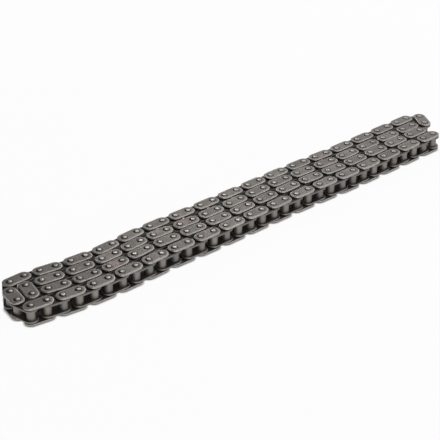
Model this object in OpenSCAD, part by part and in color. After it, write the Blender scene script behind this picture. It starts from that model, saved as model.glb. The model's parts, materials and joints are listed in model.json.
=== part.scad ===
// Endless timing chain of an engine, a simplex bush chain, lying folded on its side.
// The chain is one closed loop of links, and it lies in four strands, side by side.
// Every second link is an outer link: two outer plates riveted on two pins.
// The links between are inner links: two inner plates pressed on two bushes.
// A bush turns on its pin with a running clearance, and that is each pivot of the chain.
// X runs along the strands, Y from the front strand to the rear one, Z up along the pins.
// The origin lies under the middle of the chain, at the level of the lower pin ends.

/* [Chain] */
// Distance from one pin to the next
pitch = 9.525; // [9.4:0.025:10.3]
// Clear width between the inner plates, where the sprocket tooth runs
inner_width = 5.72; // [5:0.02:7]

/* [Plates] */
// Height of a plate across its straight sides
plate_h = 8.26; // [7.8:0.02:8.3]
// Thickness of an inner plate
inner_plate_t = 1.3; // [1:0.05:1.6]
// Thickness of an outer plate
outer_plate_t = 1.1; // [0.9:0.05:1.5]
// Radius of the rolled edge that blanking leaves round the outward face of a plate
plate_roll = 0.3; // [0.1:0.01:0.4]
// Edge break round the inward face of a plate
plate_edge = 0.16; // [0.05:0.01:0.3]
// Clearance between a bush end and the outer plate beside it
side_gap = 0.11; // [0.05:0.01:0.3]

/* [Pins] */
// Diameter of a pin
pin_d = 3.28; // [3:0.02:3.6]
// Height that the riveted head of a pin stands proud of its outer plate
pin_proud = 0.45; // [0.35:0.05:0.8]
// Width that riveting spreads the head out over the plate round the pin
head_lip = 0.2; // [0.05:0.01:0.4]
// Radius of the rounded edge round a riveted head
head_round = 0.22; // [0.1:0.01:0.24]
// Height of the crown of a riveted head, from its rounded edge to its flat top
head_crown = 0.08; // [0.02:0.01:0.1]
// Diameter of the flat top of a riveted head, which the chain rests on when it lies on its side
head_flat_d = 2.4; // [2:0.05:2.5]
// Diameter of the dent that the riveting tool leaves in the middle of a head
dent_d = 1; // [0.6:0.1:1.8]
// Depth of the riveting dent
dent_depth = 0.2; // [0.1:0.01:0.4]

/* [Bushes] */
// Outer diameter of a bush
bush_d = 5; // [4.6:0.05:5.3]
// Radial running clearance between a bush and its pin
bush_gap = 0.04; // [0.02:0.01:0.1]
// Length that a bush stands proud of its inner plate at each end
bush_proud = 0.06; // [0.02:0.01:0.15]
// Edge break round the ends of a bush
bush_edge = 0.12; // [0.05:0.01:0.2]

/* [Colours] */
// Colour of the outer plates
outer_plate_colour = "#76716e"; // color
// Colour of the inner plates
inner_plate_colour = "#67625f"; // color
// Colour of the pins
pin_colour = "#8b8784"; // color
// Colour of the bushes
bush_colour = "#a39f9b"; // color

/* [Hidden] */
$fn = 48;

// Heights of the stack, from the lower pin ends up
inner_link_w = inner_width + 2 * inner_plate_t;
bush_l = inner_link_w + 2 * bush_proud;
outer_gap = bush_l + 2 * side_gap;
outer_link_w = outer_gap + 2 * outer_plate_t;
pin_l = outer_link_w + 2 * pin_proud;
mid_z = pin_l / 2;
bush_bore = pin_d + 2 * bush_gap;
head_r = pin_d / 2 + head_lip;
plate_r = plate_h / 2;

// Steps in each rounded edge
round_steps = 3;

// The loop: links 0 to 32 are the front strand, 34 to 65 the second, 67 to 98 the third
// and 102 to 134 the rear one, and the links between them turn the corners.
// Link j joins pin j to pin j + 1. Even links are outer links.
links = 138;
front_end = 32;
second_end = 65;
third_start = 67;
third_end = 98;
rear_start = 102;
rear_end = 133;

// How a strand wanders where it lies: the slope in degrees of each of its first ten links,
// counted from the left end, for the front, second, third and rear strand.
// The first five are the same in each strand, so that the left ends can swing together.
left_slopes = [-8, -9, -7, -4, -1];
next_slopes = [
    [0, 1, 3, 4, 3],
    [3, 6, 4, 4, 1],
    [2, 5, 4, 4, 2],
    [4, 6, 4, 3, 1]
];
// Slope of the straight right end of each strand
right_slope = [1.5, 1.5, 1, 1];
right_from = 25;
// Slope of the long middle stretch of each strand
middle_slope = [-0.1, -0.4, -0.4, -0.1];
// The long shallow wave in each strand
wave_slope = [1.4, 2.8, 3.2, 1.4];
wave_from = 8;
wave_links = 16;

// Directions in degrees of the links that turn the corners
turn_front = 105;
turn_inner = 78;
turn_rear = [-16, 63, 156];
rear_last_slope = 2;

function in_wave(k) = k >= wave_from && k < wave_from + wave_links;
function wave(s, k) = in_wave(k) ? -wave_slope[s] * cos(360 / wave_links * (k - wave_from)) : 0;
function lean(s, k) = k >= 10 && k < right_from ? middle_slope[s] : 0;
function near_left(s, k) = k < 5 ? left_slopes[k] : next_slopes[s][k - 5];
function base_slope(s, k) = k < 10 ? near_left(s, k) : (k >= right_from ? right_slope[s] : 0);

// Slope of the link that is number k from the left end of strand s
function slope(s, k) = base_slope(s, k) + wave(s, k) + lean(s, k);

// Direction of link j, for the links up to the last one of the rear strand
function direction(j) =
    j <= front_end ? slope(0, j) :
    j == front_end + 1 ? turn_front :
    j <= second_end ? 180 + slope(1, second_end - j) :
    j == second_end + 1 ? turn_inner :
    j <= third_end ? slope(2, j - third_start) :
    j < rear_start ? turn_rear[j - third_end - 1] :
    j <= rear_end ? 180 + slope(3, rear_end - j) :
    180 + rear_last_slope;

function unit(a) = [cos(a), sin(a)];

// Points of a rounded edge of radius r, from its side to its face, in the section of a round piece
// whose side is at X and whose face is at Y
function rounded_edge(x, y, r) =
    [for (i = [0 : round_steps]) [x - r, y - r] + r * unit(90 / round_steps * i)];

// Pins 0 to 135 in pitches, one step of a pitch after the other
open_path = [for (j = 0, p = [0, 0]; j <= rear_end + 2; p = p + unit(direction(j)), j = j + 1) p];

// The last three links close the loop with an even bend
gap_vec = open_path[0] - open_path[rear_end + 2];
gap_dir = atan2(gap_vec[1], gap_vec[0]);
gap_bend = acos((norm(gap_vec) - 1) / 2);
pin_136 = open_path[rear_end + 2] + unit(gap_dir - gap_bend);
pin_137 = pin_136 + unit(gap_dir);
loop_path = concat(open_path, [pin_136, pin_137]);

// The middle of the chain becomes the origin
loop_x = [for (p = loop_path) p[0]];
loop_y = [for (p = loop_path) p[1]];
loop_mid = [(min(loop_x) + max(loop_x)) / 2, (min(loop_y) + max(loop_y)) / 2];
pins_at = [for (p = loop_path) pitch * (p - loop_mid)];

// The stretches of the chain between the pivots that are free to turn, by their links
front_left = [0, 4];
front_middle = [5, 27];
front_right = [28, 32];
front_right_turn = [33, 33];
second_right = [34, 38];
second_middle = [39, 60];
second_left = [61, 65];
inner_left_turn = [66, 66];
third_left = [67, 71];
third_middle = [72, 92];
third_right = [93, 97];
rear_right_turn = [98, 103];
rear_right = [104, 108];
rear_middle = [109, 128];
rear_left = [129, 133];
outer_left_turn = [134, 137];

// Puts its children on link j, with X from pin j to the next pin and Z from the middle of the chain
module on_link(j) {
    a = pins_at[j];
    b = pins_at[(j + 1) % links];
    translate([a[0], a[1], mid_z])
        rotate([0, 0, atan2(b[1] - a[1], b[0] - a[0])])
            children();
}

// Puts its children at both pivots of a link
module at_both_pivots() {
    for (x = [0, pitch])
        translate([x, 0, 0])
            children();
}

// Draws its children for each outer link of a stretch
module each_outer_link(stretch) {
    for (j = [stretch[0] : stretch[1]])
        if (j % 2 == 0)
            on_link(j)
                children();
}

// Draws its children for each inner link of a stretch
module each_inner_link(stretch) {
    for (j = [stretch[0] : stretch[1]])
        if (j % 2 == 1)
            on_link(j)
                children();
}

// Half of the rim section of a plate, with its inward edge broken and its outward edge rolled
module rim_section(t) {
    polygon(concat(
        [[0, 0], [plate_r - plate_edge, 0], [plate_r, plate_edge]],
        rounded_edge(plate_r, t, plate_roll),
        [[0, t]]
    ));
}

// A plate with straight sides, round ends and two holes, its inward face on Z = 0
module plate(t, hole_d) {
    difference() {
        union() {
            at_both_pivots()
                rotate_extrude()
                    rim_section(t);
            rotate([90, 0, 90])
                linear_extrude(height = pitch) {
                    rim_section(t);
                    mirror([1, 0])
                        rim_section(t);
                }
        }
        at_both_pivots()
            translate([0, 0, -1])
                cylinder(h = t + 2, d = hole_d);
    }
}

// Half of the section of a pin, from its middle up: the shank, and the head that sits on the plate
module pin_section() {
    h = pin_l / 2;
    seat = outer_link_w / 2;
    polygon(concat(
        [[0, 0], [pin_d / 2, 0], [pin_d / 2, seat], [head_r, seat]],
        rounded_edge(head_r, h - head_crown, head_round),
        [[head_flat_d / 2, h], [dent_d / 2, h], [0, h - dent_depth]]
    ));
}

// A riveted pin, round its own axis, the same at both ends
module pin() {
    rotate_extrude() {
        pin_section();
        mirror([0, 1])
            pin_section();
    }
}

// A bush, round its own axis, with its outer edges broken
module bush() {
    r = bush_d / 2;
    h = bush_l / 2;
    rotate_extrude()
        polygon([
            [bush_bore / 2, -h],
            [r - bush_edge, -h],
            [r, -h + bush_edge],
            [r, h - bush_edge],
            [r - bush_edge, h],
            [bush_bore / 2, h]
        ]);
}

// A pair of plates, the width w apart, with their inward faces towards each other
module pair_of_plates(w, t, hole_d) {
    for (side = [0, 1])
        mirror([0, 0, side])
            translate([0, 0, w / 2])
                plate(t, hole_d);
}

module outer_plates(stretch) {
    color(outer_plate_colour)
        each_outer_link(stretch)
            pair_of_plates(outer_gap, outer_plate_t, pin_d);
}

module inner_plates(stretch) {
    color(inner_plate_colour)
        each_inner_link(stretch)
            pair_of_plates(inner_width, inner_plate_t, bush_d);
}

module pins(stretch) {
    color(pin_colour)
        each_outer_link(stretch)
            at_both_pivots()
                pin();
}

module bushes(stretch) {
    color(bush_colour)
        each_inner_link(stretch)
            at_both_pivots()
                bush();
}

outer_plates(front_left);  // front_left_outer_plates
pins(front_left);  // front_left_pins
inner_plates(front_left);  // front_left_inner_plates
bushes(front_left);  // front_left_bushes
outer_plates(front_middle);  // front_middle_outer_plates
pins(front_middle);  // front_middle_pins
inner_plates(front_middle);  // front_middle_inner_plates
bushes(front_middle);  // front_middle_bushes
outer_plates(front_right);  // front_right_outer_plates
pins(front_right);  // front_right_pins
inner_plates(front_right);  // front_right_inner_plates
bushes(front_right);  // front_right_bushes
inner_plates(front_right_turn);  // front_right_turn_inner_plates
bushes(front_right_turn);  // front_right_turn_bushes
outer_plates(second_right);  // second_right_outer_plates
pins(second_right);  // second_right_pins
inner_plates(second_right);  // second_right_inner_plates
bushes(second_right);  // second_right_bushes
outer_plates(second_middle);  // second_middle_outer_plates
pins(second_middle);  // second_middle_pins
inner_plates(second_middle);  // second_middle_inner_plates
bushes(second_middle);  // second_middle_bushes
outer_plates(second_left);  // second_left_outer_plates
pins(second_left);  // second_left_pins
inner_plates(second_left);  // second_left_inner_plates
bushes(second_left);  // second_left_bushes
outer_plates(inner_left_turn);  // inner_left_turn_outer_plates
pins(inner_left_turn);  // inner_left_turn_pins
outer_plates(third_left);  // third_left_outer_plates
pins(third_left);  // third_left_pins
inner_plates(third_left);  // third_left_inner_plates
bushes(third_left);  // third_left_bushes
outer_plates(third_middle);  // third_middle_outer_plates
pins(third_middle);  // third_middle_pins
inner_plates(third_middle);  // third_middle_inner_plates
bushes(third_middle);  // third_middle_bushes
outer_plates(third_right);  // third_right_outer_plates
pins(third_right);  // third_right_pins
inner_plates(third_right);  // third_right_inner_plates
bushes(third_right);  // third_right_bushes
outer_plates(rear_right_turn);  // rear_right_turn_outer_plates
pins(rear_right_turn);  // rear_right_turn_pins
inner_plates(rear_right_turn);  // rear_right_turn_inner_plates
bushes(rear_right_turn);  // rear_right_turn_bushes
outer_plates(rear_right);  // rear_right_outer_plates
pins(rear_right);  // rear_right_pins
inner_plates(rear_right);  // rear_right_inner_plates
bushes(rear_right);  // rear_right_bushes
outer_plates(rear_middle);  // rear_middle_outer_plates
pins(rear_middle);  // rear_middle_pins
inner_plates(rear_middle);  // rear_middle_inner_plates
bushes(rear_middle);  // rear_middle_bushes
outer_plates(rear_left);  // rear_left_outer_plates
pins(rear_left);  // rear_left_pins
inner_plates(rear_left);  // rear_left_inner_plates
bushes(rear_left);  // rear_left_bushes
outer_plates(outer_left_turn);  // outer_left_turn_outer_plates
pins(outer_left_turn);  // outer_left_turn_pins
inner_plates(outer_left_turn);  // outer_left_turn_inner_plates
bushes(outer_left_turn);  // outer_left_turn_bushes
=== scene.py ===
import json
import math
import random

import bmesh
import bpy
import numpy as np
from mathutils import Matrix, Vector
from mathutils.kdtree import KDTree


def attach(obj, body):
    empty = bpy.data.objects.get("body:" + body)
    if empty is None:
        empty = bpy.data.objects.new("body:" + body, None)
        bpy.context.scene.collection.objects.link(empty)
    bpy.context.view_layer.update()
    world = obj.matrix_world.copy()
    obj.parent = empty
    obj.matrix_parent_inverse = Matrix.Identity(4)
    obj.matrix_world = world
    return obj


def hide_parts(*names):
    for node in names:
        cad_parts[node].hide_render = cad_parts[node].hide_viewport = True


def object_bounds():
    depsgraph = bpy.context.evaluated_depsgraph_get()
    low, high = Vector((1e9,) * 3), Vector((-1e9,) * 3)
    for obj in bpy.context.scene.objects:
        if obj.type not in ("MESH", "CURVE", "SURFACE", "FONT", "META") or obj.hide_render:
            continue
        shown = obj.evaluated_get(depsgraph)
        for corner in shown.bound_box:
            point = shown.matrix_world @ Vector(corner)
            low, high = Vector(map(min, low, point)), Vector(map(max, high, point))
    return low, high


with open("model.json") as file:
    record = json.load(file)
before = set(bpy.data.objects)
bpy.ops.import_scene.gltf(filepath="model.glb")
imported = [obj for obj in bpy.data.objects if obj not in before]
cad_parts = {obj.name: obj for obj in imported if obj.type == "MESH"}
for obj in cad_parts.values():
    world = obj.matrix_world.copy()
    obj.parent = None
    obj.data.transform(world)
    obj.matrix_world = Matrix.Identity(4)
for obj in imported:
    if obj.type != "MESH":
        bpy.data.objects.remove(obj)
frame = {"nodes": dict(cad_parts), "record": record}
cad_box = [list(corner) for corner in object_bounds()]

MM = 0.001
chance = random.Random(38)

# Where the pieces lie


def solids_of(node):
    """Centre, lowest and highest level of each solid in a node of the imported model."""
    bm = bmesh.new()
    bm.from_mesh(frame["nodes"][node].data)
    bmesh.ops.remove_doubles(bm, verts=bm.verts, dist=1e-7)
    found, waiting = [], set(bm.verts)
    while waiting:
        reached = [waiting.pop()]
        for v in reached:
            for e in v.link_edges:
                w = e.other_vert(v)
                if w in waiting:
                    waiting.remove(w)
                    reached.append(w)
        co = np.array([v.co for v in reached])
        low, high = co.min(0), co.max(0)
        found.append((Vector((low + high) / 2), low[2], high[2]))
    bm.free()
    return sorted(found, key=lambda s: tuple(round(c, 5) for c in s[0]))


def nearest_two(places, spot):
    """The two pivots that a plate sits on."""
    flat = [Vector((p[0].x, p[0].y, 0)) for p in places]
    spot = Vector((spot.x, spot.y, 0))
    return sorted(flat, key=lambda p: (p - spot).length)[:2]


bodies = {b: list(names) for b, names in frame["record"]["behaviour"]["bodies"].items()}
solids = {node: solids_of(node) for names in bodies.values() for node in names}
mid_z = sum(z for c, lo, hi in solids["front_middle_pins"] for z in (lo, hi)) / (
    2 * len(solids["front_middle_pins"])
)

# Sizes in millimetres

PITCH = 9.525
PLATE_RADIUS = 4.13
OUTER_PLATE_T = 1.1
INNER_PLATE_T = 1.3
ROLL_WIDTH = 0.45  # rolled edge on the side of a plate that faces away from the middle
ROLL_DEPTH = 0.5
SAG_WIDTH = 0.7  # inside the rolled edge the face still falls away a little
SAG_DEPTH = 0.03
INWARD_BREAK = 0.26  # smaller rounded edge on its other side
HOLE_BREAK = 0.05  # broken edge of a hole
MARGIN = 0.3  # plain band round a hole on the inward face
OIL_SHADE_REACH = 0.45  # how far the oil and painted shade round a collar reach over the plate
PIN_RADIUS = 1.64
PIN_LENGTH = 11.76
HEAD_RADIUS = 1.84  # riveting spreads the pin end out over its plate
HEAD_HEIGHT = 0.45
BUSH_RADIUS = 2.5
BUSH_BORE = 1.68
BUSH_LENGTH = 8.44
BUSH_EDGE = 0.14
BORE_EDGE = 0.08
SEAM_DEPTH = 0.07  # the joint line of a rolled bush
SEAM_TURN = 2.2  # half its width, in degrees round the bush
END_STEPS = 18
BORE_STEPS = 28
LATHE_STEPS = 32
PIN_STEPS = 28
PIN_KINDS = 9  # riveted ends that differ a little, dealt out over all the pins
GRAIN_SPREAD = 400  # how far apart the pieces lie in the grain, so that no two look alike

# From the face of a plate out over its rolled edge: painted highlight with wear, and oil with
# painted shade, per step.
ROLL_RUBBED_GLINT = (0.4, 0.9, 1.0, 1.0, 0.8)
ROLL_OIL_SHADE = (0.9, 0.7, 0.4, 0.0, 0.0)
# The inward rounded edge is painted bright: wear and painted highlight.
INWARD_RUBBED_GLINT = 0.9
CREASE_OIL_SHADE = 0.5  # oil and painted shade in the soft crease inside the rolled edge


class Shape:
    """A shape to be laid down many times: corners in mm, faces, and what its finish needs."""

    def __init__(self):
        self.bm = bmesh.new()
        self.rim = self.bm.verts.layers.float.new("rim")
        self.grime = self.bm.verts.layers.float.new("grime")

    def ring(self, points, rim=0.0, grime=0.0):
        """A ring of corners, with how bright their rubbed wear and painted highlight are, and how
        dark their oil and painted shade.
        """
        made = []
        for p in points:
            v = self.bm.verts.new(p)
            v[self.rim], v[self.grime] = rim, grime
            made.append(v)
        return made

    def bridge(self, below, above, smooth=True):
        n = len(below)
        for i in range(n):
            j = (i + 1) % n
            f = self.bm.faces.new((below[i], below[j], above[j], above[i]))
            f.smooth = smooth

    def fill(self, *loops):
        """A flat face inside the first loop, with the other loops as holes."""
        edges = []
        for loop in loops:
            n = len(loop)
            for i in range(n):
                pair = (loop[i], loop[(i + 1) % n])
                edges.append(self.bm.edges.get(pair) or self.bm.edges.new(pair))
        bmesh.ops.triangle_fill(self.bm, edges=edges, use_beauty=True)

    def finish(self):
        """Keeps the shape as plain arrays, to be laid down many times."""
        bm = self.bm
        bmesh.ops.recalc_face_normals(bm, faces=bm.faces)
        bm.verts.index_update()
        self.co = np.array([v.co for v in bm.verts])
        self.rims = np.array([v[self.rim] for v in bm.verts])
        self.grimes = np.array([v[self.grime] for v in bm.verts])
        self.loops = np.array([v.index for f in bm.faces for v in f.verts])
        self.counts = np.array([len(f.verts) for f in bm.faces])
        self.smooth = np.array([f.smooth for f in bm.faces])
        bm.free()
        return self


def rounding(width, depth, steps):
    """(distance in from the side, distance in from the face) along a rounded edge."""
    return [
        (width * (1 - math.sin(a)), depth * (1 - math.cos(a)))
        for a in (math.pi / 2 * k / steps for k in range(steps + 1))
    ]


def plate_line(inset):
    """The outline of a plate, set in by a distance: straight sides and round ends."""
    r, half = PLATE_RADIUS - inset, PITCH / 2
    line = []
    for side, start in ((1, -90), (-1, 90)):
        for k in range(END_STEPS + 1):
            a = math.radians(start + 180 * k / END_STEPS)
            line.append((side * half + r * math.cos(a), r * math.sin(a)))
    return line


def circle(r, steps, cx=0.0):
    turns = [2 * math.pi * k / steps for k in range(steps)]
    return [(cx + r * math.cos(a), r * math.sin(a)) for a in turns]


def plate_shape(thickness, bore, collar, worn, oil_shade_cover):
    """A plate from its inward face at Z = 0 to its outward face, with its rolled rim and two holes.

    Oil and painted shade lie round the collar: the head or bush end that comes out of each hole.
    The fourth argument says how bright the rolled rim is painted, as rubbing and painted highlight,
    and the fifth how far oil and painted shade cover the outward face.
    """
    s = Shape()

    def outline(inset, z, rim=0.0, grime=0.0):
        return s.ring([(x, y, z) for x, y in plate_line(inset)], rim, grime)

    inward = [
        outline(i, z, INWARD_RUBBED_GLINT) for i, z in rounding(INWARD_BREAK, INWARD_BREAK, 3)
    ]
    outward = [
        outline(i, thickness - SAG_DEPTH - z, rubbed * worn, held * oil_shade_cover)
        for (i, z), rubbed, held in zip(
            rounding(ROLL_WIDTH, ROLL_DEPTH, 4), ROLL_RUBBED_GLINT, ROLL_OIL_SHADE
        )
    ]
    crease = outline(
        ROLL_WIDTH + SAG_WIDTH / 2, thickness - 0.3 * SAG_DEPTH, 0.2 * worn, max(CREASE_OIL_SHADE, oil_shade_cover)
    )
    low_flat = outline(INWARD_BREAK + 0.25, 0)
    high_flat = outline(ROLL_WIDTH + SAG_WIDTH, thickness, 0, oil_shade_cover)
    s.bridge(low_flat, inward[0], False)
    side = [*inward, *reversed(outward), crease, high_flat]
    for a, b in zip(side, side[1:]):
        s.bridge(a, b)

    lows, highs = [], []
    for side in (-1, 1):
        cx = side * PITCH / 2

        def hole(r, z, rim=0.0, grime=0.0):
            return s.ring([(x, y, z) for x, y in circle(r, BORE_STEPS, cx)], rim, grime)

        # Oil and painted shade darken the bore and a ring round the collar, where the head or bush
        # end meets the plate.
        rings = [
            hole(bore + MARGIN, 0),
            hole(bore + HOLE_BREAK, 0, grime=0.6),
            hole(bore, 2 * HOLE_BREAK, grime=1),
            hole(bore, thickness - HOLE_BREAK, grime=1),
            hole(bore + HOLE_BREAK, thickness, grime=1),
            hole(collar + 0.1, thickness, grime=1),
            hole(collar + 0.26, thickness, grime=0.85),
            hole(collar + OIL_SHADE_REACH, thickness, grime=oil_shade_cover),
        ]
        for a, b in zip(rings, rings[1:]):
            s.bridge(a, b, False)
        lows.append(rings[0])
        highs.append(rings[-1])
    s.fill(low_flat, *lows)
    s.fill(high_flat, *highs)
    return s.finish()


def lathe(s, profile, steps, bend):
    """Turns (radius, level, painted highlight with wear, oil with painted shade) points round Z. A
    radius of 0 closes the end.

    Bend moves each corner from where the lathe puts it.
    """
    rings = []
    for r, z, rim, grime in profile:
        if r == 0:
            rings.append(s.ring([bend(0, 0, z, 0)], rim, grime))
        else:
            rings.append(s.ring([bend(x, y, z, r) for x, y in circle(r, steps)], rim, grime))
    for a, b in zip(rings, rings[1:]):
        if len(a) == 1 or len(b) == 1:
            tip, ring = (a[0], b) if len(a) == 1 else (b[0], a)
            for i in range(len(ring)):
                f = s.bm.faces.new((tip, ring[i], ring[(i + 1) % len(ring)]))
                f.smooth = True
        else:
            s.bridge(a, b)


def pin_shape(draw):
    """A pin with both ends riveted into a low crowned head, with the dent of the riveting tool.

    The dent lies a little off the middle, and the crown leans a little one way.
    """
    h = PIN_LENGTH / 2
    dent_x, dent_y = draw.uniform(-0.08, 0.08), draw.uniform(-0.08, 0.08)
    depth = draw.uniform(0.05, 0.1)
    lean = draw.uniform(0, 0.08)
    way = draw.uniform(0, 2 * math.pi)
    dent_reach, lean_reach, rim_band = 1.2, 0.8, 0.2
    head = [  # (radius, level from the top of the head, painted highlight with wear, oil with painted shade)
        # The flat top of the head is painted bright as a highlight, and its shoulder dark as a ring
        # of shade.
        (0, -depth, 0.6, 0.3), (0.14, -0.85 * depth, 0.6, 0.3), (0.24, -0.4 * depth, 0.7, 0.2),
        (0.32, -0.01, 0.9, 0.0), (0.42, 0.0, 1.0, 0.0), (0.75, -0.018, 1.0, 0.0),
        (1.05, -0.052, 0.9, 0.0), (1.25, -0.095, 0.5, 0.0), (1.45, -0.16, 0.2, 0.3),
        (1.62, -0.24, 0.0, 0.6), (1.76, -0.35, 0.0, 1.0), (HEAD_RADIUS, -HEAD_HEIGHT, 0.0, 1.0),
        (PIN_RADIUS, -HEAD_HEIGHT, 0.0, 1.0),
    ]

    def bend(x, y, z, r):
        if abs(z) > h - HEAD_HEIGHT + 0.01:
            inner = max(0.0, 1 - r / dent_reach)
            drop = lean * (0.5 + 0.5 * math.cos(math.atan2(y, x) - way)) * min(1, r / lean_reach)
            z -= math.copysign(drop * min(1, (HEAD_RADIUS - r) / rim_band), z)
            x, y = x + dent_x * inner, y + dent_y * inner
        return (x, y, z)

    s = Shape()
    profile = [(r, -h - z, rim, grime) for r, z, rim, grime in head]
    profile += [(r, h + z, rim, grime) for r, z, rim, grime in reversed(head)]
    lathe(s, profile, PIN_STEPS, bend)
    return s.finish()


def bush_shape():
    """A rolled bush: broken edges, an open bore, and the joint line of the rolling on its side."""
    h = BUSH_LENGTH / 2
    turns = [(360 * k / LATHE_STEPS, 0.0) for k in range(1, LATHE_STEPS)]
    turns += [(360 - SEAM_TURN, 0.0), (360, SEAM_DEPTH), (360 + SEAM_TURN, 0.0)]
    end = [  # (radius, level from the end of the bush, painted highlight with wear, oil with painted shade)
        # The bore is painted dark, as shade inside it.
        (BUSH_BORE, BORE_EDGE, 0, 1), (BUSH_BORE + BORE_EDGE, 0, 0.2, 0.8),
        (BUSH_RADIUS - BUSH_EDGE, 0, 0.8, 0.2),
        (BUSH_RADIUS - 0.3 * BUSH_EDGE, 0.3 * BUSH_EDGE, 1, 0),
        (BUSH_RADIUS, BUSH_EDGE, 0.8, 0),
    ]
    section = [(r, -h + z, rim, grime) for r, z, rim, grime in end]
    section += [(BUSH_RADIUS, z, 0, 0) for z in (-h / 2, 0, h / 2)]
    section += [(r, h - z, rim, grime) for r, z, rim, grime in reversed(end)]
    s = Shape()
    rings = []
    for r, z, rim, grime in section:
        points = []
        for turn, cut in turns:
            a, q = math.radians(turn), r - (cut if r > BUSH_BORE + BORE_EDGE else 0)
            points.append((q * math.cos(a), q * math.sin(a), z))
        rings.append(s.ring(points, rim, grime))
    for a, b in zip(rings, rings[1:] + rings[:1]):
        s.bridge(a, b)
    return s.finish()


# Outer plates: fully bright painted rims. Inner plates, deep between others: dimmer rims, faces
# painted dark as oil and shade.
outer_plate = plate_shape(OUTER_PLATE_T, PIN_RADIUS, HEAD_RADIUS, worn=1.0, oil_shade_cover=0.0)
inner_plate = plate_shape(INNER_PLATE_T, BUSH_RADIUS, BUSH_RADIUS, worn=0.35, oil_shade_cover=1.0)
pins = [pin_shape(chance) for k in range(PIN_KINDS)]
bush = bush_shape()

# Laying the shapes down


def turned(centre, angle, z, face):
    """Puts a shape at a centre, turned to an angle, its outward face up or down."""
    there = Matrix.Translation((centre.x / MM, centre.y / MM, z / MM))
    there @= Matrix.Rotation(angle, 4, "Z")
    return there if face > 0 else there @ Matrix.Rotation(math.pi, 4, "X")


def copies_of(body, node):
    """Each piece of a node as (shape, where it goes)."""
    kind = node[len(body) + 1:]
    laid = []
    for centre, low, high in solids[node]:
        face = 1 if centre.z > mid_z else -1
        if kind.endswith("plates"):
            carriers = solids[body + ("_pins" if kind == "outer_plates" else "_bushes")]
            a, b = sorted(nearest_two(carriers, centre), key=lambda p: (p.x, p.y))
            angle = math.atan2(b.y - a.y, b.x - a.x) + chance.choice((0, math.pi))
            shape = outer_plate if kind == "outer_plates" else inner_plate
            laid.append((shape, turned((a + b) / 2, angle, low if face > 0 else high, face)))
        else:
            shape = chance.choice(pins) if kind == "pins" else bush
            laid.append((shape, turned(centre, chance.uniform(0, 2 * math.pi), mid_z, 1)))
    return laid


def lay_down(name, laid):
    """One mesh of all the laid shapes, with the finish of each piece kept on its corners."""
    co, place, finish, loops, counts, smooth = [], [], [], [], [], []
    base = 0
    for shape, where in laid:
        m = np.array(where)
        co.append((shape.co @ m[:3, :3].T + m[:3, 3]) * MM)
        place.append(shape.co + [chance.uniform(0, GRAIN_SPREAD) for k in range(3)])
        tone = np.full(len(shape.co), chance.gauss(0, 1))
        # Each corner keeps its tone, its painted highlight with wear, and its oil with painted
        # shade.
        finish.append(np.column_stack([tone, shape.rims, shape.grimes]))
        loops.append(shape.loops + base)
        counts.append(shape.counts)
        smooth.append(shape.smooth)
        base += len(shape.co)
    co, loops, counts = np.concatenate(co), np.concatenate(loops), np.concatenate(counts)
    mesh = bpy.data.meshes.new(name)
    mesh.vertices.add(len(co))
    mesh.vertices.foreach_set("co", co.ravel())
    mesh.loops.add(len(loops))
    mesh.loops.foreach_set("vertex_index", loops)
    mesh.polygons.add(len(counts))
    mesh.polygons.foreach_set("loop_start", np.concatenate([[0], np.cumsum(counts)[:-1]]))
    mesh.polygons.foreach_set("loop_total", counts)
    mesh.polygons.foreach_set("use_smooth", np.concatenate(smooth))
    for label, values in (("grain_place", place), ("finish", finish)):
        a = mesh.attributes.new(label, "FLOAT_VECTOR", "POINT")
        a.data.foreach_set("vector", np.concatenate(values).ravel())
    mesh.update(calc_edges=True)
    mesh.validate()
    piece = bpy.data.objects.new(name, mesh)
    bpy.context.scene.collection.objects.link(piece)
    return piece


# Finishes


def group(name, inputs, outputs):
    """A shared effect with named sockets, as (tree, its inputs, its outputs)."""
    tree = bpy.data.node_groups.new(name, "ShaderNodeTree")
    for socket, kind, default in inputs:
        made = tree.interface.new_socket(name=socket, in_out="INPUT", socket_type=kind)
        if default is not None:
            made.default_value = default
    for socket, kind in outputs:
        tree.interface.new_socket(name=socket, in_out="OUTPUT", socket_type=kind)
    return tree, tree.nodes.new("NodeGroupInput").outputs, tree.nodes.new("NodeGroupOutput").inputs


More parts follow.
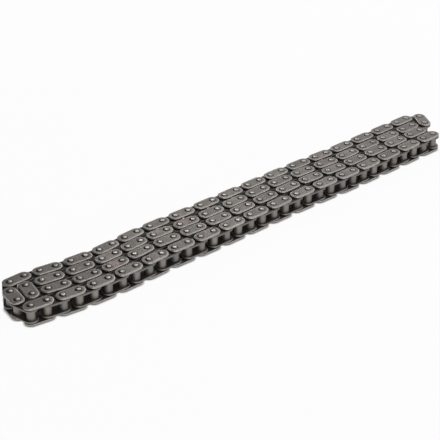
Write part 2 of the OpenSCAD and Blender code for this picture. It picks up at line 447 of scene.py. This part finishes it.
class Bench:
    """Short ways to place nodes in a tree."""

    def __init__(self, tree):
        self.tree = tree

    def put(self, kind, **settings):
        node = self.tree.nodes.new(kind)
        for k, v in settings.items():
            setattr(node, k, v)
        return node

    def feed(self, value, socket):
        if isinstance(value, bpy.types.NodeSocket):
            self.tree.links.new(value, socket)
        else:
            socket.default_value = value

    def maths(self, operation, *values, clamp=False):
        node = self.put("ShaderNodeMath", operation=operation, use_clamp=clamp)
        for value, socket in zip(values, node.inputs):
            self.feed(value, socket)
        return node.outputs[0]

    def scaled(self, vector, amount):
        node = self.put("ShaderNodeVectorMath", operation="SCALE")
        self.feed(vector, node.inputs["Vector"])
        self.feed(amount, node.inputs["Scale"])
        return node.outputs["Vector"]

    def apart(self, vector):
        """The three parts of a vector."""
        node = self.put("ShaderNodeSeparateXYZ")
        self.feed(vector, node.inputs[0])
        return node.outputs

    def range(self, value, low, high, to_low=0.0, to_high=1.0):
        """A soft step: to_low where the value is low, to_high where it is high."""
        node = self.put("ShaderNodeMapRange", clamp=True, interpolation_type="SMOOTHSTEP")
        for v, socket in zip((value, low, high, to_low, to_high), node.inputs):
            self.feed(v, socket)
        return node.outputs[0]

    def mix(self, amount, a, b, blend="MIX"):
        """Two colours mixed: sockets 6 and 7 of the node take them, and its output 2 gives them."""
        node = self.put("ShaderNodeMix", data_type="RGBA", blend_type=blend, clamp_factor=True)
        for value, socket in ((amount, 0), (a, 6), (b, 7)):
            self.feed(value, node.inputs[socket])
        return node.outputs[2]

    def noise(self, place, scale, detail=2.0, roughness=0.5):
        node = self.put("ShaderNodeTexNoise")
        self.feed(place, node.inputs["Vector"])
        self.feed(scale, node.inputs["Scale"])
        self.feed(detail, node.inputs["Detail"])
        self.feed(roughness, node.inputs["Roughness"])
        return node.outputs["Fac"]

    def use(self, shared, **values):
        node = self.put("ShaderNodeGroup", node_tree=shared)
        for k, v in values.items():
            self.feed(v, node.inputs[k.replace("_", " ")])
        return node.outputs


def make_tumbled_tone():
    """Tumbled steel: each piece has its own grey, with soft cloudy patches over it."""
    tree, given, wanted = group(
        "tumbled_tone",
        [
            ("Place", "NodeSocketVector", None), ("Tone", "NodeSocketFloat", 0.0),
            ("Grey", "NodeSocketColor", (0.2, 0.2, 0.2, 1)),
            ("Piece Spread", "NodeSocketFloat", 0.08), ("Cloud Spread", "NodeSocketFloat", 0.2),
        ],
        [("Color", "NodeSocketColor"), ("Cloud", "NodeSocketFloat")],
    )
    b = Bench(tree)
    wide = b.noise(given["Place"], scale=0.35, detail=3.0, roughness=0.55)
    fine = b.noise(given["Place"], scale=2.2, detail=3.0, roughness=0.6)
    cloud = b.maths("ADD", b.maths("MULTIPLY", wide, 0.7), b.maths("MULTIPLY", fine, 0.3))
    swing = b.maths("MULTIPLY", b.maths("SUBTRACT", cloud, 0.5), given["Cloud Spread"])
    own = b.maths("MULTIPLY", given["Tone"], given["Piece Spread"])
    darkest = 0.3
    level = b.maths("MAXIMUM", b.maths("ADD", b.maths("ADD", own, swing), 1.0), darkest)
    b.feed(b.scaled(given["Grey"], level), wanted["Color"])
    b.feed(cloud, wanted["Cloud"])
    return tree


def make_heat_stain():
    """Thin straw and plum stains that heat and old oil leave on steel."""
    tree, given, wanted = group(
        "heat_stain",
        [
            ("Place", "NodeSocketVector", None),
            ("Color", "NodeSocketColor", (0.2, 0.2, 0.2, 1)), ("Amount", "NodeSocketFloat", 0.3),
        ],
        [("Color", "NodeSocketColor"), ("Mask", "NodeSocketFloat")],
    )
    b = Bench(tree)
    patch = b.range(b.noise(given["Place"], scale=0.16), low=0.5, high=0.68)
    which = b.range(b.noise(given["Place"], scale=0.09, detail=1.0), low=0.42, high=0.58)
    strength = b.maths("MULTIPLY", patch, given["Amount"], clamp=True)
    straw, plum = (1.2, 1.0, 0.93, 1), (1.14, 0.97, 0.97, 1)
    hue = b.mix(which, straw, plum)
    tinted = b.mix(1.0, given["Color"], hue, "MULTIPLY")
    b.feed(b.mix(strength, given["Color"], tinted), wanted["Color"])
    b.feed(strength, wanted["Mask"])
    return tree


def make_rim_glint_wear():
    """Edges painted bright: partly wear from tumbling and handling, partly painted highlight,
    broken up by small noise.
    """
    tree, given, wanted = group(
        "rim_wear",
        [
            ("Place", "NodeSocketVector", None), ("Rim", "NodeSocketFloat", 0.0),
            ("Amount", "NodeSocketFloat", 0.8),
        ],
        [("Mask", "NodeSocketFloat")],
    )
    b = Bench(tree)
    noise = b.noise(given["Place"], scale=1.6, detail=3.0, roughness=0.6)
    broken = b.maths("MULTIPLY", given["Rim"], b.range(noise, low=0.3, high=0.62, to_low=0.45))
    b.feed(b.maths("MULTIPLY", broken, given["Amount"], clamp=True), wanted["Mask"])
    return tree


def make_fine_marks():
    """Short rubbing marks along a piece and small pits, as a height and a mask."""
    tree, given, wanted = group(
        "fine_marks",
        [
            ("Place", "NodeSocketVector", None), ("Across", "NodeSocketFloat", 5.0),
            ("Along", "NodeSocketFloat", 0.6),
        ],
        [("Height", "NodeSocketFloat"), ("Rubbed", "NodeSocketFloat"), ("Pits", "NodeSocketFloat")],
    )
    b = Bench(tree)
    stretched = b.put("ShaderNodeCombineXYZ")
    for part, way, socket in zip(
        b.apart(given["Place"]), ("Along", "Across", "Across"), stretched.inputs
    ):
        b.feed(b.maths("MULTIPLY", part, given[way]), socket)
    marks = b.noise(stretched.outputs[0], scale=1.0, detail=4.0, roughness=0.65)
    pits = b.range(b.noise(given["Place"], scale=3.4), low=0.3, high=0.42, to_low=1.0, to_high=0.0)
    dents = b.noise(given["Place"], scale=0.9)
    height = b.maths("ADD", b.maths("MULTIPLY", marks, 0.4), b.maths("MULTIPLY", dents, 0.6))
    b.feed(b.maths("SUBTRACT", height, b.maths("MULTIPLY", pits, 0.35)), wanted["Height"])
    b.feed(b.range(marks, low=0.56, high=0.7), wanted["Rubbed"])
    b.feed(pits, wanted["Pits"])
    return tree


def make_corner_shade_oil():
    """Dark oil and painted shade where one piece meets the next."""
    tree, given, wanted = group(
        "corner_oil",
        [
            ("Place", "NodeSocketVector", None), ("Grime", "NodeSocketFloat", 0.0),
            ("Amount", "NodeSocketFloat", 0.7),
        ],
        [("Mask", "NodeSocketFloat")],
    )
    b = Bench(tree)
    uneven = b.maths("MULTIPLY", b.noise(given["Place"], scale=1.3), 0.5)
    covered = b.range(b.maths("ADD", given["Grime"], uneven), low=0.55, high=1.15)
    b.feed(b.maths("MULTIPLY", covered, given["Amount"], clamp=True), wanted["Mask"])
    return tree


tumbled_tone = make_tumbled_tone()
heat_stain = make_heat_stain()
rim_wear = make_rim_glint_wear()
fine_marks = make_fine_marks()
corner_oil = make_corner_shade_oil()


# The dark of oil and of painted shade in corners and pockets.
OIL_SHADE_COLOUR = (0.02, 0.018, 0.016, 1)
MARK_HEIGHT = 0.05 * MM


def empty_tree(owner):
    """The node tree of a material or world, with nothing in it yet."""
    owner.use_nodes = True
    owner.node_tree.nodes.clear()
    return Bench(owner.node_tree)


def oiled_steel(
    name, grey, bright, metal=0.9, spread=0.08, cloud=0.35, stain=0.5, rim=0.8, oil=0.7,
    rough=0.5, rim_rough=0.35, rubbed=0.25, across=5.0, along=0.6, bump=0.4,
):
    """A steel finish under oil, with painted highlight on its edges and painted shade where pieces
    meet.
    Grey is the face, bright the edge of wear and painted highlight, both as linear colours; oil
    sets the oil and painted shade.
    """
    material = bpy.data.materials.new(name)
    b = empty_tree(material)
    place = b.put("ShaderNodeAttribute", attribute_name="grain_place").outputs["Vector"]
    tone, rims, grimes = b.apart(
        b.put("ShaderNodeAttribute", attribute_name="finish").outputs["Vector"]
    )
    base = b.use(
        tumbled_tone, Place=place, Tone=tone, Grey=(*grey, 1),
        Piece_Spread=spread, Cloud_Spread=cloud,
    )
    stained = b.use(heat_stain, Place=place, Color=base["Color"], Amount=stain)
    worn = b.use(rim_wear, Place=place, Rim=rims, Amount=rim)["Mask"]
    marks = b.use(fine_marks, Place=place, Across=across, Along=along)
    oil_shade_mask = b.use(corner_oil, Place=place, Grime=grimes, Amount=oil)["Mask"]
    lit = b.mix(b.maths("MULTIPLY", marks["Rubbed"], rubbed), stained["Color"], (*bright, 1))
    # Edges painted bright: wear and painted highlight.
    lit = b.mix(worn, lit, (*bright, 1))
    # Painted shade with oil where pieces meet, and dark pits.
    dark = b.maths("MAXIMUM", oil_shade_mask, b.maths("MULTIPLY", marks["Pits"], 0.3))
    cloudy, stain_smooth, smoothest = 0.3, 0.08, 0.12
    rougher = b.maths("MULTIPLY", b.maths("SUBTRACT", base["Cloud"], 0.5), cloudy)
    gloss = b.maths("ADD", rough, rougher)
    gloss = b.maths("ADD", gloss, b.maths("MULTIPLY", worn, rim_rough - rough))
    gloss = b.maths("SUBTRACT", gloss, b.maths("MULTIPLY", stained["Mask"], stain_smooth))
    shader = b.put("ShaderNodeBsdfPrincipled")
    shader.inputs["Metallic"].default_value = metal
    b.feed(b.mix(dark, lit, OIL_SHADE_COLOUR), shader.inputs["Base Color"])
    b.feed(b.maths("MAXIMUM", gloss, smoothest), shader.inputs["Roughness"])
    raised = b.put("ShaderNodeBump")
    raised.inputs["Strength"].default_value = bump
    raised.inputs["Distance"].default_value = MARK_HEIGHT
    b.feed(marks["Height"], raised.inputs["Height"])
    b.feed(raised.outputs[0], shader.inputs["Normal"])
    b.feed(shader.outputs[0], b.put("ShaderNodeOutputMaterial").inputs["Surface"])
    return material


finishes = {
    "outer_plates": oiled_steel(
        "outer_plate_steel", (0.141, 0.131, 0.121), (0.475, 0.45, 0.423),
        stain=0.8, rim=1.0, oil=1.0,
    ),
    # Darker than the outer plates, with dimmer edges: painted shade for plates deep between the
    # others.
    "inner_plates": oiled_steel(
        "inner_plate_steel", (0.13, 0.121, 0.112), (0.34, 0.322, 0.303), oil=1.0,
    ),
    # The bright colour paints the highlight on the flat tops of the heads, with some wear.
    "pins": oiled_steel(
        "riveted_pin_steel", (0.17, 0.159, 0.147), (0.28, 0.267, 0.25),
        metal=1.0, spread=0.2, stain=0.6, oil=1.0, rough=0.32, rim_rough=0.24,
        across=2.5, along=2.5, bump=0.5,
    ),
    "bushes": oiled_steel(
        "bush_steel", (0.27, 0.256, 0.237), (0.42, 0.4, 0.375),
        stain=0.2, rough=0.55, rim_rough=0.42, across=0.5, along=4.0, bump=0.3,
    ),
}

for body, names in bodies.items():
    for node in names:
        kind = node[len(body) + 1:]
        piece = lay_down(node + "_finished", copies_of(body, node))
        piece.data.materials.append(finishes[kind])
        frame["nodes"][node].data.materials.clear()
        frame["nodes"][node].data.materials.append(finishes[kind])
        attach(piece, body)
        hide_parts(node)

# Studio

LOOK_X, LOOK_Y = 0.65, 0.76  # the way that the photograph looks, along the floor
# The dark floor reaches this far from each plate, in mm, on the side that the chain hides.
BEHIND = [Vector((LOOK_X, LOOK_Y, 0)) * step for step in (0, 4, 8)]
FLOOR_END = 6  # metres from the middle
CLOTH_PALE, CLOTH_PALER = (0.86, 0.86, 0.86, 1), (0.9, 0.9, 0.9, 1)
GLOW_SHARE = 0.95  # what the white takes of the floor, and the cloth's own shading keeps the rest
WHITE = (1, 1, 1, 1)


def nearest_distances(spots, others):
    """How far each spot is from the nearest of the others."""
    tree = KDTree(len(others))
    for i, p in enumerate(others):
        tree.insert(p, i)
    tree.balance()
    return np.array([tree.find(p)[2] for p in spots])


def beside_chain(spots):
    """How far each floor spot lies outside the outer plates and the dark floor right behind them.

    Deep inside the fold it is below 0.
    """
    radius, reach, under = PLATE_RADIUS * MM, 8 * MM, 4 * MM
    centres = [(c.x, c.y, 0) for node in solids for c, low, high in solids[node]]
    far_out = spots[nearest_distances(spots, centres) > radius + reach]
    rails = []
    for body in bodies:
        for centre, low, high in solids.get(body + "_outer_plates", ()):
            a, b = nearest_two(solids[body + "_pins"], centre)
            along = [a.lerp(b, k / 8) for k in range(9)]
            rails += [p + behind * MM for p in along for behind in BEHIND]
    return np.minimum(
        nearest_distances(spots, rails) - radius, reach + under - nearest_distances(spots, far_out)
    )


def seen_rays(b):
    """Rays that meet the white background: from the camera, off metal and through glass."""
    ray = b.put("ShaderNodeLightPath").outputs
    mirrored = b.maths("MAXIMUM", ray["Is Glossy Ray"], ray["Is Transmission Ray"])
    return b.maths("MAXIMUM", ray["Is Camera Ray"], mirrored)


def blend_into(b, share, below, above, output):
    """Lays one shader over another by a share, and feeds the output of the tree."""
    blend = b.put("ShaderNodeMixShader")
    b.feed(share, blend.inputs[0])
    b.feed(below.outputs[0], blend.inputs[1])
    b.feed(above.outputs[0], blend.inputs[2])
    b.feed(blend.outputs[0], b.put(output).inputs["Surface"])


def floor_sheet():
    """The floor, fine round the chain, and how far each of its corners lies beside the chain."""
    margin = 15 * MM
    lines = []
    for half, count in ((cad_box[1][0] + margin, 360), (cad_box[1][1] + margin, 72)):
        lines.append(np.concatenate([[-FLOOR_END], np.linspace(-half, half, count), [FLOOR_END]]))
    xs, ys = lines
    co = np.array([(x, y, 0.0) for y in ys for x in xs])
    n = len(xs)
    starts = [row * n + k for row in range(len(ys) - 1) for k in range(n - 1)]
    mesh = bpy.data.meshes.new("studio_floor")
    mesh.from_pydata(co.tolist(), [], [(a, a + 1, a + 1 + n, a + n) for a in starts])
    beside = mesh.attributes.new("beside_chain", "FLOAT", "POINT")
    beside.data.foreach_set("value", beside_chain(co))
    floor = bpy.data.objects.new("studio_floor", mesh)
    bpy.context.scene.collection.objects.link(floor)
    return floor


def make_white_floor():
    """A plain pale floor that keeps a soft shadow close to the chain."""
    floor = floor_sheet()
    material = bpy.data.materials.new("pale_floor")
    b = empty_tree(material)
    grain = b.noise(b.put("ShaderNodeTexCoord").outputs["Object"], scale=3.0)
    cloth = b.put("ShaderNodeBsdfPrincipled")
    b.feed(b.mix(grain, CLOTH_PALE, CLOTH_PALER), cloth.inputs["Base Color"])
    cloth.inputs["Roughness"].default_value = 0.9
    glow = b.put("ShaderNodeEmission")
    glow.inputs["Strength"].default_value = 1.0
    away = b.put("ShaderNodeAttribute", attribute_name="beside_chain").outputs["Fac"]
    beside = b.range(away, low=-0.8 * MM, high=1.2 * MM)
    bare = b.put("ShaderNodeAmbientOcclusion")  # where an end of the chain has swung away
    bare.inputs["Distance"].default_value = 20 * MM
    open_floor = b.maths("MAXIMUM", beside, b.range(bare.outputs["AO"], low=0.7, high=0.95))
    share = b.maths("MULTIPLY", b.maths("MULTIPLY", seen_rays(b), GLOW_SHARE), open_floor)
    blend_into(b, share, cloth, glow, "ShaderNodeOutputMaterial")
    floor.data.materials.append(material)


def make_sky():
    """Even studio light from all round, and the room that the steel mirrors, pale to the right."""
    world = bpy.data.worlds.new("studio_light")
    b = empty_tree(world)
    x, y = b.apart(b.put("ShaderNodeTexCoord").outputs["Generated"])[:2]
    to_right = b.maths("SUBTRACT", b.maths("MULTIPLY", x, LOOK_Y), b.maths("MULTIPLY", y, LOOK_X))
    soft, room = b.put("ShaderNodeBackground"), b.put("ShaderNodeBackground")
    for light in (soft, room):
        light.inputs["Color"].default_value = WHITE
    soft.inputs["Strength"].default_value = 0.25
    walls = b.range(to_right, low=-0.4, high=0.65, to_low=0.09, to_high=0.6)
    b.feed(walls, room.inputs["Strength"])
    blend_into(b, seen_rays(b), soft, room, "ShaderNodeOutputWorld")
    bpy.context.scene.world = world


def softbox(name, place, aim, width, height, watts):
    """A rectangular lamp at a place in metres, turned to shine on its aim."""
    lamp = bpy.data.lights.new(name, "AREA")
    lamp.shape, lamp.size, lamp.size_y, lamp.energy = "RECTANGLE", width, height, watts
    box = bpy.data.objects.new(name, lamp)
    box.location = place
    box.rotation_euler = (Vector(aim) - Vector(place)).to_track_quat("-Z", "Y").to_euler()
    bpy.context.scene.collection.objects.link(box)


def make_camera(azimuth, elevation, distance, aim, lens, roll):
    """The camera at the photograph's angle, for a square picture."""
    a, e, t = (math.radians(v) for v in (azimuth, elevation, roll))
    back = Vector((math.sin(a) * math.cos(e), -math.cos(a) * math.cos(e), math.sin(e)))
    across = Vector((0, 0, 1)).cross(back).normalized()
    up = back.cross(across)
    right = math.cos(t) * across + math.sin(t) * up
    up = -math.sin(t) * across + math.cos(t) * up
    data = bpy.data.cameras.new("camera")
    data.sensor_width, data.lens = 36, lens
    data.clip_start, data.clip_end = 0.05, 50
    camera = bpy.data.objects.new("camera", data)
    camera.matrix_world = Matrix.Translation(Vector(aim) + back * distance) @ Matrix(
        (right, up, back)
    ).transposed().to_4x4()
    bpy.context.scene.collection.objects.link(camera)
    bpy.context.scene.camera = camera


make_white_floor()
make_sky()
softbox("spot_softbox", (0.54, 0.8, 0.76), (-0.12, 0, 0.01), width=0.36, height=0.18, watts=1.35)
softbox("rear_softbox", (1.1, 0.7, 0.7), (0.02, 0, 0.01), width=1.3, height=0.7, watts=3.5)
softbox("front_softbox", (-0.55, -0.9, 0.36), (-0.03, 0, 0.01), width=1.0, height=0.5, watts=3.3)
softbox("top_softbox", (0.45, -0.1, 1.0), (0, 0, 0), width=1.2, height=1.2, watts=4.5)
make_camera(
    azimuth=-40.36, elevation=29.669, distance=0.8026, aim=(-0.028494, -0.008553, 0.01176),
    lens=112.6, roll=-0.327,
)
bpy.context.scene.view_settings.view_transform = "Standard"
